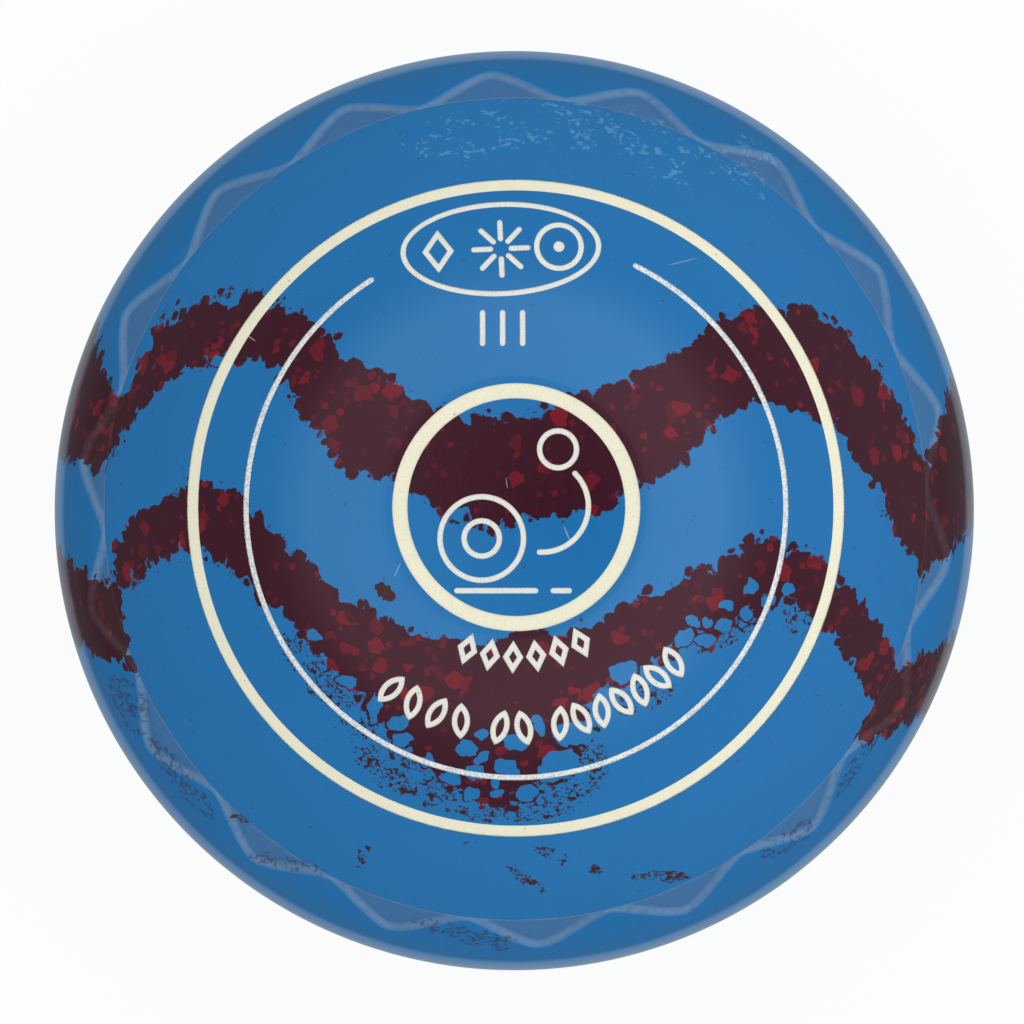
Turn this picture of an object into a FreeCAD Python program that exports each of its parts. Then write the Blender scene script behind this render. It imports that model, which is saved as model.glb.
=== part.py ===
import FreeCAD, Part
import math
import os

# Lawn bowl lying on its plain side. Millimetres, +Z up.
# +Z is the axis through both flat discs, and the origin is the middle of the lower one.
# +Y points to the top of the engraved marks.

# Moulded ball
DIAMETER = 121.0
BIAS_HALF_WIDTH = 55.5      # widest circle to the biased side's flat disc
PLAIN_HALF_WIDTH = 52.5     # widest circle to the plain side's flat disc
BIAS_DISC_R = 16.0
PLAIN_DISC_R = 22.0
SHELL_THICKNESS = 10.0

# Finger grips: a ring of rounded, wedge-shaped scoops on each side
SCOOPS = 18
SCOOP_TURN_DEG = 73.2       # direction of one scoop's tip, counterclockwise from +X
GRIP_INNER_R = 52.6         # the ring of scoops ends in a step on this circle
GRIP_CENTRE_R = 55.0        # where each scoop's floor lies flat to the ball
GRIP_CHANNEL_R = 53.4       # a shallow channel joins the scoops along the step
GRIP_CHANNEL_DEPTH = 0.4
SCOOP_DEPTH = 1.0
SCOOP_TIP = 2.4             # floor's corner, measured from the scoop's centre to the rim
SCOOP_HALF_ANGLE_DEG = 55.5
SCOOP_CORNER_R = 1.0
SCOOP_WALL_DEG = 22.0       # slope of the scoop's walls
SCOOP_TAIL = 9.0            # how far the cutter reaches towards the disc
CUTTER_RISE = 1.0           # how far the cutters stand out of the ball

# Engraved grooves and the enamel in them
GROOVE_DEPTH = 0.6
ENAMEL_BELOW = 0.1          # the enamel's face lies this far below the surface
LINE = 0.7                  # width of an engraved line

# Rings
DISC_RING_R = 14.5
DISC_RING_WIDTH = 1.9
OPEN_RING_R = 33.9
OPEN_RING_ENDS_DEG = (63.7, 122.4)      # the gap at the top, counterclockwise from +X
OUTER_RING_R = 40.8
OUTER_RING_WIDTH = 1.45
PLAIN_DISC_RING_R = 20.0

# Motif inside the disc ring: a bowl, the jack, the curved line between them and the turf
MOTIF_BOWL = (-4.3, -3.9, 5.2)          # centre x, centre y, radius
MOTIF_BOWL_DISC_R = 2.2
MOTIF_JACK = (5.2, 7.2, 2.3)
MOTIF_PATH = ((2.9, -5.6), (8.8, -1.3), (7.3, 4.2))
MOTIF_TURF = ((-7.4, 2.4), (4.6, 6.6))  # ends in x of the two strokes
MOTIF_TURF_Y = -10.4

# Oval cartouche above the disc, with a lozenge, a burst and a ringed dot in it
CARTOUCHE = (-1.9, 32.5)
CARTOUCHE_HALF = (12.3, 5.75)
CARTOUCHE_TILT_DEG = 2.3
BURST_RAYS = 8
BURST_R = (1.3, 3.4)
LOZENGE_HALF = (1.6, 2.2)
LOZENGE_AT = -7.9
RINGED_DOT_AT = 7.3
RINGED_DOT_R = 2.8
DOT_R = 0.7

# Three upright strokes below the cartouche
TALLY_COUNT = 3
TALLY_CENTRE = (-1.7, 22.4)
TALLY_SPACING = 2.5
TALLY_HALF_HEIGHT = 1.95

# Rows of marks that follow circles below the disc: degrees are measured from straight down
LOZENGE_ROW_R = 18.7
LOZENGE_ROW_COUNT = 6
LOZENGE_ROW_DEG = (-19.0, 25.4)
ROW_LOZENGE_HALF = (0.9, 1.45)
LEAF_ROW_R = 27.6
LEAF_SPRIGS = ((4, -34.5, -14.5), (2, -4.2, 2.0), (7, 11.5, 45.5))   # leaves, first and last angle
LEAF_LENGTH = 3.7
LEAF_WIDTH = 1.6
LEAF_TILT_DEG = 13.0

# Rosette on the plain side's disc
PETALS = 6
PETAL_CENTRE_R = 9.6
PETAL_LENGTH = 11.0
PETAL_WIDTH = 4.4
ROSETTE_DOT_R = 14.0

RADIUS = DIAMETER / 2
Vec = FreeCAD.Vector
ORIGIN = Vec(0, 0, 0)
UP = Vec(0, 0, 1)


# Ball

def ellipse_rise(half_width, disc_r):
    """Height that the side's elliptical profile would reach on the axis if the disc didn't cut it off."""
    return half_width / math.sqrt(1 - (disc_r / RADIUS) ** 2)


def half_ball(side, inset=0.0):
    """One side of the ball standing on its widest circle at z = 0, with its outside moved in by inset."""
    half_width, disc_r = side
    long_axis = RADIUS - inset
    short_axis = ellipse_rise(half_width, disc_r) - inset
    top = half_width - inset
    arc_end = math.asin(top / short_axis)
    flat_r = long_axis * math.cos(arc_end)
    ellipse = Part.Ellipse(Vec(long_axis, 0, 0), Vec(0, short_axis, 0), ORIGIN)
    edges = [
        Part.ArcOfEllipse(ellipse, 0, arc_end).toShape(),
        Part.LineSegment(Vec(flat_r, top, 0), Vec(0, top, 0)).toShape(),
        Part.LineSegment(Vec(0, top, 0), ORIGIN).toShape(),
        Part.LineSegment(ORIGIN, Vec(long_axis, 0, 0)).toShape(),
    ]
    profile = Part.Face(Part.Wire(edges))
    solid = profile.revolve(ORIGIN, Vec(0, 1, 0), 360)
    solid.rotate(ORIGIN, Vec(1, 0, 0), 90)
    return solid


# Grips

def scoop_outline(tip, corner_r, level):
    """Rounded wedge outline at a level above the scoop's floor. X runs along the rim, Y towards it."""
    half_angle = math.radians(SCOOP_HALF_ANGLE_DEG)
    arc_centre = Vec(0, tip - corner_r / math.sin(half_angle), level)
    out = Vec(math.cos(half_angle), math.sin(half_angle), 0) * corner_r
    right = arc_centre + out
    left = arc_centre + Vec(-out.x, out.y, 0)
    top = arc_centre + Vec(0, corner_r, 0)
    run = (right.y + SCOOP_TAIL) / math.cos(half_angle)
    far_right = right + Vec(math.sin(half_angle), -math.cos(half_angle), 0) * run
    far_left = Vec(-far_right.x, far_right.y, level)
    return Part.Wire([
        Part.Arc(right, top, left).toShape(),
        Part.LineSegment(left, far_left).toShape(),
        Part.LineSegment(far_left, far_right).toShape(),
        Part.LineSegment(far_right, right).toShape(),
    ])


def scoop_cutter(side):
    """One scoop's cutter, in place at angle 0: its floor is flat and its walls slope outwards."""
    rise = ellipse_rise(*side)
    height = SCOOP_DEPTH + CUTTER_RISE
    spread = height / math.tan(math.radians(SCOOP_WALL_DEG))
    wide_tip = SCOOP_TIP + spread / math.sin(math.radians(SCOOP_HALF_ANGLE_DEG))
    floor = scoop_outline(SCOOP_TIP, SCOOP_CORNER_R, 0)
    mouth = scoop_outline(wide_tip, SCOOP_CORNER_R + spread, height)
    cutter = Part.makeLoft([floor, mouth], True, True)
    cutter.translate(Vec(0, 0, -SCOOP_DEPTH))
    # Stand the cutter on the ball: its Y points down the ball's side and its Z straight out of it.
    turn = math.acos(GRIP_CENTRE_R / RADIUS)
    lean = math.atan2(RADIUS * math.sin(turn), rise * math.cos(turn))
    cutter.rotate(ORIGIN, UP, -90)
    cutter.rotate(ORIGIN, Vec(0, 1, 0), 90 - math.degrees(lean))
    cutter.translate(Vec(GRIP_CENTRE_R, 0, rise * math.sin(turn)))
    return cutter


def grip_cutters(side):
    """The ring of scoops and the shallow channel along their inner step."""
    within_step = Part.makeCylinder(GRIP_INNER_R, RADIUS)
    first = scoop_cutter(side).cut(within_step)
    cutters = []
    for number in range(SCOOPS):
        scoop = first.copy()
        scoop.rotate(ORIGIN, UP, SCOOP_TURN_DEG + number * 360 / SCOOPS)
        cutters.append(scoop)
    channel = Part.makeCylinder(GRIP_CHANNEL_R, RADIUS).cut(within_step)
    cutters.append(channel.cut(half_ball(side, GRIP_CHANNEL_DEPTH)))
    return cutters


# Engraved marks. Each is an upright prism; the groove and the enamel are cut from it.

def prism(outline, *holes):
    """Upright prism through one side of the ball, from a closed outline and the holes in it."""
    face = Part.makeFace([outline, *holes], "Part::FaceMakerBullseye")
    return face.extrude(UP * RADIUS)


def circle_wire(x, y, radius):
    return Part.Wire(Part.Circle(Vec(x, y, 0), UP, radius).toShape())


def dot(x, y):
    return prism(circle_wire(x, y, DOT_R))


def ring(x, y, radius, width=LINE):
    """Full ring with its middle line on radius."""
    return prism(circle_wire(x, y, radius + width / 2), circle_wire(x, y, radius - width / 2))


def oval_ring(centre, half, tilt_deg):
    """Ring between two ellipses, turned by tilt_deg about its centre."""
    wires = []
    for side in (LINE / 2, -LINE / 2):
        ellipse = Part.Ellipse(Vec(half[0] + side, 0, 0), Vec(0, half[1] + side, 0), ORIGIN)
        wires.append(Part.Wire(ellipse.toShape()))
    return placed(prism(*wires), *centre, tilt_deg)


def straight(start, end):
    """Straight line of the engraved width, with round ends."""
    first, last = Vec(*start, 0), Vec(*end, 0)
    along = (last - first).normalize() * (LINE / 2)
    across = UP.cross(along)
    return prism(Part.Wire([
        Part.LineSegment(first - across, last - across).toShape(),
        Part.Arc(last - across, last + along, last + across).toShape(),
        Part.LineSegment(last + across, first + across).toShape(),
        Part.Arc(first + across, first - along, first - across).toShape(),
    ]))


def bent(start, middle, end):
    """Arc of the engraved width through three points, with round ends."""
    arc = Part.Arc(Vec(*start, 0), Vec(*middle, 0), Vec(*end, 0)).toShape()
    return prism(Part.Wire(arc).makeOffset2D(LINE / 2, 0, False, False))


def on_circle(radius, degrees):
    angle = math.radians(degrees)
    return (radius * math.cos(angle), radius * math.sin(angle))


def lozenge(half):
    """Upright lozenge drawn as a line, centred on the axis."""
    def outline(grow):
        scale = 1 + grow * math.hypot(*half) / (half[0] * half[1])
        x, y = half[0] * scale, half[1] * scale
        return Part.makePolygon([Vec(x, 0, 0), Vec(0, y, 0), Vec(-x, 0, 0), Vec(0, -y, 0), Vec(x, 0, 0)])
    return prism(outline(LINE / 2), outline(-LINE / 2))


def leaf(length, width):
    """Leaf drawn as a line: two arcs that meet in points at both ends, centred on the axis."""
    def outline(grow):
        # Moving both arcs out by grow moves the tips out along the leaf's axis.
        arc_r = (length ** 2 + width ** 2) / (4 * width)
        inset = arc_r - width / 2
        tip = math.sqrt((arc_r + grow) ** 2 - inset ** 2)
        side = width / 2 + grow
        ends = Vec(0, tip, 0), Vec(0, -tip, 0)
        right = Part.Arc(ends[0], Vec(side, 0, 0), ends[1]).toShape()
        left = Part.Arc(ends[1], Vec(-side, 0, 0), ends[0]).toShape()
        return Part.Wire([right, left])
    return prism(outline(LINE / 2), outline(-LINE / 2))


def placed(solid, x, y, turn_deg=0.0):
    """Copy turned about the axis and then moved to x, y."""
    moved = solid.copy()
    moved.rotate(ORIGIN, UP, turn_deg)
    moved.translate(Vec(x, y, 0))
    return moved


def spread(count, first, last):
    return [first + (last - first) * number / (count - 1) for number in range(count)]


def cartouche_marks():
    """Lozenge, burst and ringed dot in a row, turned with the cartouche."""
    marks = [placed(lozenge(LOZENGE_HALF), LOZENGE_AT, 0)]
    for number in range(BURST_RAYS):
        angle = 360 * number / BURST_RAYS
        marks.append(straight(on_circle(BURST_R[0], angle), on_circle(BURST_R[1], angle)))
    marks.append(ring(RINGED_DOT_AT, 0, RINGED_DOT_R))
    marks.append(dot(RINGED_DOT_AT, 0))
    return [placed(mark, *CARTOUCHE, CARTOUCHE_TILT_DEG) for mark in marks]


def tally_marks():
    x, y = TALLY_CENTRE
    marks = []
    for number in range(TALLY_COUNT):
        at = x + (number - (TALLY_COUNT - 1) / 2) * TALLY_SPACING
        marks.append(straight((at, y - TALLY_HALF_HEIGHT), (at, y + TALLY_HALF_HEIGHT)))
    return marks


def lozenge_row():
    marks = []
    for angle in spread(LOZENGE_ROW_COUNT, *LOZENGE_ROW_DEG):
        x, y = on_circle(LOZENGE_ROW_R, angle - 90)
        marks.append(placed(lozenge(ROW_LOZENGE_HALF), x, y, angle))
    return marks


def leaf_row():
    marks = []
    for count, first, last in LEAF_SPRIGS:
        for number, angle in enumerate(spread(count, first, last)):
            x, y = on_circle(LEAF_ROW_R, angle - 90)
            tilt = LEAF_TILT_DEG if number % 2 else -LEAF_TILT_DEG
            marks.append(placed(leaf(LEAF_LENGTH, LEAF_WIDTH), x, y, angle + tilt))
    return marks


def rosette():
    marks = []
    for number in range(PETALS):
        angle = 360 * number / PETALS
        x, y = on_circle(PETAL_CENTRE_R, angle)
        marks.append(placed(leaf(PETAL_LENGTH, PETAL_WIDTH), x, y, angle - 90))
        marks.append(dot(*on_circle(ROSETTE_DOT_R, angle + 180 / PETALS)))
    return marks


def open_ring():
    """Thin ring that stops short of the cartouche on both sides."""
    start, end = OPEN_RING_ENDS_DEG
    middle = (start + end) / 2 + 180
    points = [on_circle(OPEN_RING_R, angle) for angle in (start, middle, end)]
    return bent(*points)


def bias_side_marks():
    bowl_x, bowl_y, bowl_r = MOTIF_BOWL
    return {
        "disc_ring_enamel": [ring(0, 0, DISC_RING_R, DISC_RING_WIDTH)],
        "motif_bowl_enamel": [
            ring(bowl_x, bowl_y, bowl_r),
            ring(bowl_x, bowl_y, MOTIF_BOWL_DISC_R),
        ],
        "motif_jack_enamel": [ring(*MOTIF_JACK)],
        "motif_path_enamel": [bent(*MOTIF_PATH)],
        "motif_turf_enamel": [
            straight((start, MOTIF_TURF_Y), (end, MOTIF_TURF_Y)) for start, end in MOTIF_TURF
        ],
        "open_ring_enamel": [open_ring()],
        "outer_ring_enamel": [ring(0, 0, OUTER_RING_R, OUTER_RING_WIDTH)],
        "cartouche_enamel": [oval_ring(CARTOUCHE, CARTOUCHE_HALF, CARTOUCHE_TILT_DEG)],
        "cartouche_marks_enamel": cartouche_marks(),
        "tally_enamel": tally_marks(),
        "lozenge_row_enamel": lozenge_row(),
        "leaf_row_enamel": leaf_row(),
    }


def plain_side_marks():
    return {
        "plain_disc_ring_enamel": [ring(0, 0, PLAIN_DISC_RING_R, DISC_RING_WIDTH)],
        "plain_rosette_enamel": rosette(),
        "plain_outer_ring_enamel": [ring(0, 0, OUTER_RING_R, OUTER_RING_WIDTH)],
    }


# Assembly

def make_side(side, marks):
    """The side's shell, with grips and grooves, and its enamel fills, standing on z = 0."""
    groove_floor = half_ball(side, GROOVE_DEPTH)
    enamel_face = half_ball(side, ENAMEL_BELOW)
    shell = half_ball(side).cut(half_ball(side, SHELL_THICKNESS))
    shell = shell.cut(grip_cutters(side))
    fills = {}
    for name, prisms in marks.items():
        grooves = [shape.cut(groove_floor) for shape in prisms]
        shell = shell.cut(grooves)
        fills[name] = [groove.common(enamel_face) for groove in grooves]
    return shell, fills


def turned_over(shape):
    """The same shape with its disc pointing down."""
    lower = shape.copy()
    lower.rotate(ORIGIN, Vec(0, 1, 0), 180)
    return lower


def write(name, shape):
    shape.translate(UP * PLAIN_HALF_WIDTH)
    solids = shape.Solids
    for solid in solids:
        if not solid.isValid() or solid.Volume <= 0:
            raise ValueError(name + " is not a sound solid")
    whole = solids[0] if len(solids) == 1 else Part.makeCompound(solids)
    whole.exportStep("parts/" + name + ".step")
    volume = sum(solid.Volume for solid in solids)
    print(f"{name}: {len(solids)} solid(s), {volume:.1f} mm3")


def make_bowl():
    bias = (BIAS_HALF_WIDTH, BIAS_DISC_R)
    plain = (PLAIN_HALF_WIDTH, PLAIN_DISC_R)
    bias_core = half_ball(bias, SHELL_THICKNESS)
    plain_core = turned_over(half_ball(plain, SHELL_THICKNESS))
    write("core", bias_core.fuse(plain_core).removeSplitter())

    shell, fills = make_side(bias, bias_side_marks())
    write("bias_side_shell", shell)
    for name, solids in fills.items():
        write(name, Part.makeCompound(solids))

    shell, fills = make_side(plain, plain_side_marks())
    write("plain_side_shell", turned_over(shell))
    for name, solids in fills.items():
        write(name, turned_over(Part.makeCompound(solids)))


os.makedirs("parts", exist_ok=True)
make_bowl()
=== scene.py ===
import math

import bmesh
import bpy
import numpy as np
from mathutils import Matrix, Vector


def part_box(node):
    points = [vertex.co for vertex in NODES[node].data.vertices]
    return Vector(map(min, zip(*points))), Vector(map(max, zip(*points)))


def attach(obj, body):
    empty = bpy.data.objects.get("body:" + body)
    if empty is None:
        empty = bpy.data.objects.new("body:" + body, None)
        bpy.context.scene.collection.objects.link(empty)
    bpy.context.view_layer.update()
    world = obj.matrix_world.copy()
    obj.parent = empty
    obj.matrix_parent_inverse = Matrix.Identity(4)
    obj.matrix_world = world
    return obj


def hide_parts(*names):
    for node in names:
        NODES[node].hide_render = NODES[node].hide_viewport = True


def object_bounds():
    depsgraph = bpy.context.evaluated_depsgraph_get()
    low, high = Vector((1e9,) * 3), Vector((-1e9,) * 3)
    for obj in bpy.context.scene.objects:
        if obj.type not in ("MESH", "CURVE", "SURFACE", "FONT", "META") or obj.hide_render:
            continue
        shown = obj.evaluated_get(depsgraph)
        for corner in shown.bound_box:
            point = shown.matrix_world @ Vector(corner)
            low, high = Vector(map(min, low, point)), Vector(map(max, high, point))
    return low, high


# Lawn bowl on its plain side: marbled shells, enamel-filled engravings and scooped finger grips.
# +Z is up through both discs, and +Y points to the oval cartouche. Every length in the settings, the
# outlines and the patterns is in millimetres, and MM turns it into metres.

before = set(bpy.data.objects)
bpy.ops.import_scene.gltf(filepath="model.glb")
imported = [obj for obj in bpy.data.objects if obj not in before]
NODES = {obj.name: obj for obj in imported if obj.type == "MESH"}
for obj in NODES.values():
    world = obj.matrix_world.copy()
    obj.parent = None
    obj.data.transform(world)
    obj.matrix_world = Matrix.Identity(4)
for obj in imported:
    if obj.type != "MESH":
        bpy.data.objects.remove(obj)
CAD_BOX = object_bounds()
MM = 0.001

# Moulded ball, measured on the CAD
BALL_R = round(CAD_BOX[1][0] / MM, 1)
EQUATOR_Z = round(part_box("bias_side_shell")[0][2] / MM, 1)
BIAS_DISC_R = 16.0
PLAIN_DISC_R = 22.0
# Each side: from the widest circle to the disc, and the disc's radius
BIAS_SIDE = (round(CAD_BOX[1][2] / MM, 1) - EQUATOR_Z, BIAS_DISC_R)
PLAIN_SIDE = (EQUATOR_Z, PLAIN_DISC_R)
SHELL_THICKNESS = BALL_R - round(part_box("core")[1][0] / MM, 1)
DISC_EDGE_SOFT = 0.12           # how far the disc's edge is rubbed down

# Finger grips
SCOOPS = 18
SCOOP_PITCH = 2 * math.pi / SCOOPS
SCOOP_TURN_DEG = 73.2
GRIP_INNER_R = 52.6             # step on the disc side
GRIP_VALLEY_R = 53.25           # outline between two scoops
GRIP_TIP_R = 56.8               # outline at the scoop's tip
GRIP_BLUNT = 0.2                # rounding of the tip, as a share of half a scoop's width
GRIP_FLARE = 1.4                # how hollow the outline's flanks are: 1 is straight
GRIP_DEPTH = 0.85
GRIP_WALL = 1.25                # width of the sloping wall
GRIP_STEP = 0.4                 # width of the step
GRIP_PAST_TIP = 1.5             # how far the rows of points that follow the outline go beyond the tips
GRIP_LIP = (1.5, 0.32, 0.06)    # faint ridge along the step: distance from it, half-width, height

# Mesh of a shell
COLUMNS = 576
HOLLOW_ROWS = 14
WELD = 0.002                    # points of an enamel solid nearer than this are one
GROOVE_REACH = 1.0              # how far a groove's cutter stands out of the ball
ENAMEL_TOP = 0.35               # an enamel's corners nearer to the surface than this are its face
GRIP_SHADING = (GRIP_INNER_R - 0.6, GRIP_TIP_R + 0.9)   # radii between which the grips bend the normals

# Marbling: edges of the two maroon bands as seen along -Z, as (x, y)
UPPER_TOP = [(-60, 22), (-50, 16), (-46, 23.2), (-40, 26.2), (-35, 27), (-30, 26), (-25, 22.5), (-20, 18.5),
             (-15, 15.5), (-10, 12.5), (-3, 11.2), (3, 11.5), (10, 15), (16, 16.5), (20, 18.5), (25, 22.5),
             (30, 25.2), (36, 25.2), (41, 23.5), (46, 17.5), (50, 11), (60, 2)]
UPPER_BOTTOM = [(-60, 4), (-50, 9), (-46, 15.5), (-40, 18.4), (-35, 19.6), (-30, 17), (-25, 9), (-20, 4.4),
                (-15, 3.6), (-10, 0), (-5, -2.2), (3, -1.9), (10, -0.2), (16, 3.2), (20, 4.5), (25, 10.5),
                (30, 13), (35, 12.6), (40, 10.8), (45, 3.6), (50, -5), (60, -8)]
LOWER_TOP = [(-60, -12), (-54, -10), (-50, -3.4), (-45, 0.6), (-40, 2.8), (-35, 2), (-30, -3.6), (-25, -8),
             (-20, -12), (-15, -14.6), (-10, -16), (0, -15.8), (10, -14.6), (15, -11.4), (20, -9.4),
             (25, -6.8), (30, -4.2), (35, -4.6), (40, -8), (45, -12.6), (50, -20.5), (60, -22)]
LOWER_BOTTOM = [(-60, -20), (-55, -19), (-50, -11), (-45, -6), (-40, -6), (-35, -8.4), (-30, -12.8),
                (-25, -17.6), (-20, -23.8), (-16, -27.8), (-12, -30.8), (-8, -35.5), (-3, -37), (1, -36.5),
                (4, -33), (7, -28), (10, -23.6), (15, -20.2), (20, -17.6), (25, -15.8), (30, -13.2),
                (35, -11.6), (40, -16), (45, -23), (50, -28.5), (60, -26)]
# The bands where they cross the running surface: direction in degrees clockwise from +Y at the widest
# circle, half-width in degrees there, and how much each changes towards the grips
STRIPES = [(286.0, 9.0, -6.0, -4.0), (81.3, 9.8, 10.5, -2.0), (259.5, 5.8, -6.5, 0.5),
           (110.5, 5.0, 9.0, 1.5)]
STRIPE_INWARDS = 8.0            # distance from the widest circle over which they change
STRIPE_FROM_R = 52.3            # the outlines above hold inside this radius, the stripes outside it
STRIPE_BLEND = 0.6              # and over this far on each side of it one gives way to the other
BAND_SLOPE = 0.75               # distance to a slanting edge, as a share of the distance along Y

# Marbling: sizes of its features
KNOB = 1.6
BIG_FLAKE = 1.9
SMALL_FLAKE = 1.0
CRUMB = 0.95
SPECK = 0.40
THREAD = 0.70
STRAND = 0.80
SWIRL = 22.0
SWIRL_PUSH = 30.0
SWIRL_TURN_DEG = 75.0
UPPER_FACE_Z = (60.0, 70.0)     # height over which the patterns seen only from above set in

# Colours
BLUE_DEEP = (0.0060, 0.146, 0.390)
BLUE_LIGHT = (0.0075, 0.158, 0.424)
MAROON = (0.034, 0.0036, 0.0122)
MAROON_LIGHT = (0.052, 0.007, 0.017)
FLAKE_RED = (0.195, 0.007, 0.014)
DUST = (0.036, 0.012, 0.016)
PALE_FLECK = (0.12, 0.34, 0.56)
SCRATCH = (0.45, 0.52, 0.58)
SCUFFED = (0.17, 0.14, 0.09)
# Painted highlight: pale grey-blue laid along the grips' walls, step and lip
PAINTED_HIGHLIGHT = (0.40, 0.46, 0.47)
SPECULAR_BLUE = (0.45, 0.69, 1.0)
SPECULAR_MAROON = (0.42, 0.28, 0.32)
CREAM = (0.86, 0.835, 0.64)
DULL_CREAM = (0.69, 0.685, 0.54)
WHITE = (0.83, 0.83, 0.75)
DULL_WHITE = (0.66, 0.68, 0.63)
SPECKLED = (0.84, 0.86, 0.83)
DULL_SPECKLED = (0.52, 0.58, 0.60)
DIRT = (0.16, 0.15, 0.12)
CORE_DARK = (0.09, 0.085, 0.08)
CORE_LIGHT = (0.16, 0.15, 0.135)


# Ball profile

def ellipse_height(side, r):
    """Height of the side's ellipse above the widest circle, at radius r."""
    half_width, disc_r = side
    rise = half_width / math.sqrt(1 - (disc_r / BALL_R) ** 2)
    return rise * np.sqrt(np.clip(1 - (r / BALL_R) ** 2, 0, 1))


def soft_min(a, b, k):
    """The smaller of a and b, with the corner between them rounded."""
    h = np.clip(0.5 + 0.5 * (b - a) / k, 0, 1)
    return b * (1 - h) + a * h - k * h * (1 - h)


def smooth(t):
    t = np.clip(t, 0, 1)
    return t * t * (3 - 2 * t)


class Profile:
    """One side's outline: radius, height and normal against the distance along it from the disc's middle."""

    def __init__(self, side):
        half_width = side[0]
        turn = np.linspace(0, math.pi / 2, 6001)
        self.r = BALL_R * np.sin(turn)
        self.z = soft_min(np.full_like(self.r, half_width), ellipse_height(side, self.r), DISC_EDGE_SOFT)
        dr = np.gradient(self.r)
        dz = np.gradient(self.z)
        step = np.hypot(dr, dz)
        self.s = np.concatenate([[0], np.cumsum(np.hypot(np.diff(self.r), np.diff(self.z)))])
        self.nr = -dz / step
        self.nz = dr / step
        self.nr[-1] = 1.0
        self.nz[-1] = 0.0

    def at(self, s):
        return [np.interp(s, self.s, v) for v in (self.r, self.z, self.nr, self.nz)]

    def s_of(self, r):
        return float(np.interp(r, self.r, self.s))


# Finger grips

def grip_outline(profile, across):
    """Distance along the profile of a scoop's outline; across is 0 at the tip and 1 between two scoops."""
    tip = profile.s_of(GRIP_TIP_R)
    valley = profile.s_of(GRIP_VALLEY_R)
    rounded = np.sqrt(across ** 2 + GRIP_BLUNT ** 2) - GRIP_BLUNT
    rounded = rounded / (math.sqrt(1 + GRIP_BLUNT ** 2) - GRIP_BLUNT)
    return valley + (tip - valley) * (1 - rounded) ** GRIP_FLARE


def grip_across(angle):
    """0 where a scoop has its tip and 1 between two scoops, for a direction in radians."""
    phase = (angle - math.radians(SCOOP_TURN_DEG)) / SCOOP_PITCH
    return np.abs(phase - np.round(phase)) * 2


def grip_depth(profile, s, angle):
    """Depth of the grips and where a highlight is painted along their walls, step and lip, at distances along
    the profile and directions in radians.
    """
    across = grip_across(angle)
    half_scoop = SCOOP_PITCH / 2 * (GRIP_INNER_R + GRIP_TIP_R) / 2
    # Distance to the nearest of many points on the outline, which runs on a little into the next scoops
    line_across = np.linspace(-0.15, 1.15, 260)
    folded = np.where(line_across > 1, 2 - line_across, np.abs(line_across))
    line_s = grip_outline(profile, folded)
    gap = np.hypot((across[..., None] - line_across) * half_scoop, s[..., None] - line_s).min(-1)
    inside = s < grip_outline(profile, across)
    wall = smooth(np.where(inside, gap, 0) / GRIP_WALL)
    step = smooth((s - profile.s_of(GRIP_INNER_R)) / GRIP_STEP)
    lip_from, lip_half, lip_height = GRIP_LIP
    lip = wall * np.exp(-((s - profile.s_of(GRIP_INNER_R) - lip_from) / lip_half) ** 2)
    # Painted highlight: strongest midway up the wall, midway across the step, and on the lip
    painted_highlight = np.clip(4 * wall * (1 - wall) * step + 4 * step * (1 - step) * wall + 1.2 * lip, 0, 1)
    return GRIP_DEPTH * wall * step - lip_height * lip, painted_highlight


# Shells

def row_distances(profile, side, angle):
    """Distances along the profile of the rows of points; in the grips the rows follow their outline."""
    disc = profile.s_of(side[1])
    step = profile.s_of(GRIP_INNER_R)
    past_tip = profile.s_of(GRIP_TIP_R) + GRIP_PAST_TIP
    outline = grip_outline(profile, grip_across(angle))
    floor_from = step + 0.24 * (outline - step)
    wall_from = step + 0.68 * (outline - step)
    # Each stretch of the profile: from, to, rows
    stretches = [
        (2.0, disc - 0.7, 9 if side is PLAIN_SIDE else 6),
        (disc - 0.7, disc + 1.2, 10),
        (disc + 1.2, step - 1.5, 16),
        (step - 1.5, step, 5),
        (step, floor_from, 10),
        (floor_from, wall_from, 11),
        (wall_from, outline, 13),
        (outline, past_tip, 6),
        (past_tip, profile.s[-1], 10),
    ]
    rows = []
    for start, end, count in stretches:
        for share in np.arange(count) / count:
            rows.append(start + (end - start) * share + np.zeros_like(angle))
    rows.append(np.full_like(angle, profile.s[-1]))
    return np.array(rows)


def outside_rings(profile, side, turn):
    """Rows of (radius, height) of the outside, and how deep in a grip each point is and how much painted
    highlight it gets.
    """
    s = row_distances(profile, side, turn)
    angle = np.broadcast_to(turn, s.shape)
    r, z, nr, nz = profile.at(s)
    depth = np.zeros_like(s)
    painted_highlight = np.zeros_like(s)
    in_grips = (s.max(1) > profile.s_of(GRIP_INNER_R) - 0.3) & (s.min(1) < profile.s_of(GRIP_TIP_R))
    depth[in_grips], painted_highlight[in_grips] = grip_depth(profile, s[in_grips], angle[in_grips])
    return list(zip(r - nr * depth, z - nz * depth)), depth, painted_highlight


def hollow_rings(side):
    """Rows of (radius, height) of the hollow for the core, from the joint up to its flat top."""
    half_width, disc_r = side
    top = half_width - SHELL_THICKNESS
    rise = half_width / math.sqrt(1 - (disc_r / BALL_R) ** 2) - SHELL_THICKNESS
    rings = []
    for lift in np.linspace(0, math.asin(top / rise), HOLLOW_ROWS):
        r = np.full(COLUMNS, (BALL_R - SHELL_THICKNESS) * math.cos(lift))
        z = np.full(COLUMNS, rise * math.sin(lift))
        rings.append((r, z))
    return rings


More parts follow.
